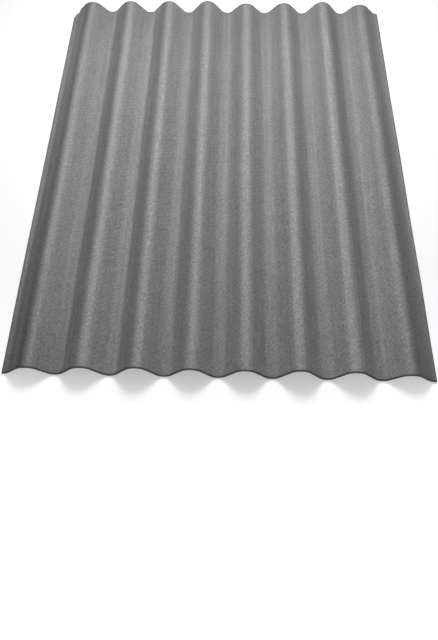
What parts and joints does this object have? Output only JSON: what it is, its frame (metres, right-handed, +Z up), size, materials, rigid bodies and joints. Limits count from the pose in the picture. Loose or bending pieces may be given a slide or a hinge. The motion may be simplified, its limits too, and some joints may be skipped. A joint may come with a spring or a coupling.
{
  "type": "corrugated bitumen sheet",
  "caption": "Rectangular roofing sheet of bitumen-soaked fibre board with rounded waves along its length, painted grey on top and bare on its underside and cut edges.",
  "frame": {"origin": "middle of the sheet's outline, on the floor plane that its valleys rest on", "axes": "+X across the waves, +Y along the waves, +Z up through the painted side"},
  "size_m": [0.76, 1, 0.0319],
  "materials": {
    "bitumen_board": "matte"
  },
  "bodies": {
    "root": {"sheet": "bitumen_board"}
  },
  "joints": []
}
